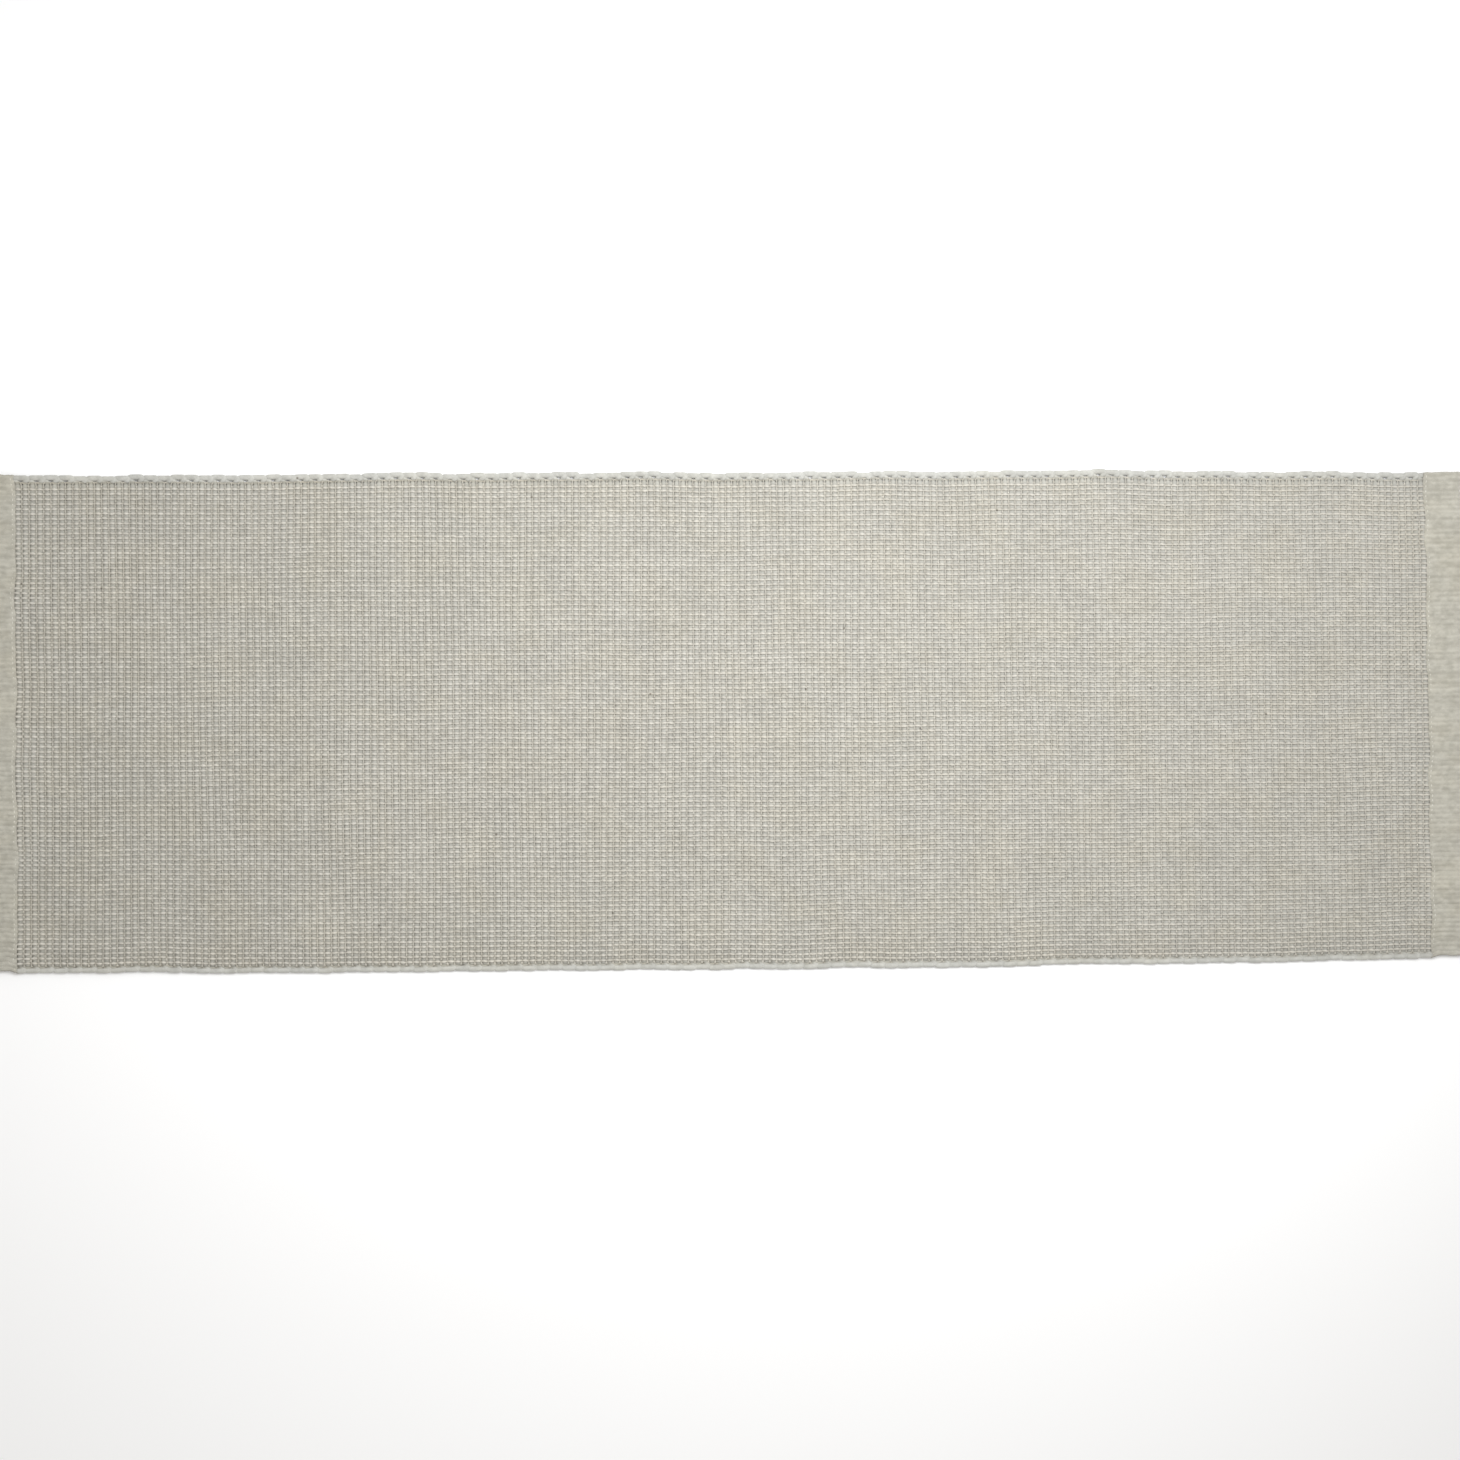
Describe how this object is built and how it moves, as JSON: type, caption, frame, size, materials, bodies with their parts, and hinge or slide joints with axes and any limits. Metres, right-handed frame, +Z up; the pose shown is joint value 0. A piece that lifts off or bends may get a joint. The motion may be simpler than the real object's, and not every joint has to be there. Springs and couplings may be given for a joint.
{
  "type": "table runner",
  "caption": "Flat ribbed cotton table runner with corded selvages and a plain-woven, turned-under and stitched hem band at each end.",
  "frame": {"origin": "centre of the underside, on the surface that the runner lies on", "axes": "+X along the length, +Y across the width, +Z up out of the table"},
  "size_m": [1.2, 0.4, 0.0033],
  "materials": {
    "ribbed_cotton": "matt, natural unbleached cotton in a heavy rib weave",
    "selvage_cotton": "matt, natural unbleached cotton, corded edge",
    "band_cotton": "matt, natural unbleached cotton in a fine plain weave",
    "sewing_thread": "matt natural cotton sewing thread"
  },
  "bodies": {
    "root": {"woven_field": "ribbed_cotton", "selvage_back": "selvage_cotton", "selvage_front": "selvage_cotton", "end_band_right": "band_cotton", "end_band_left": "band_cotton", "hem_fold_right": "band_cotton", "hem_fold_left": "band_cotton", "hem_tuck_right": "band_cotton", "hem_tuck_left": "band_cotton", "hem_stitch_right": "sewing_thread", "hem_stitch_left": "sewing_thread"}
  },
  "joints": []
}
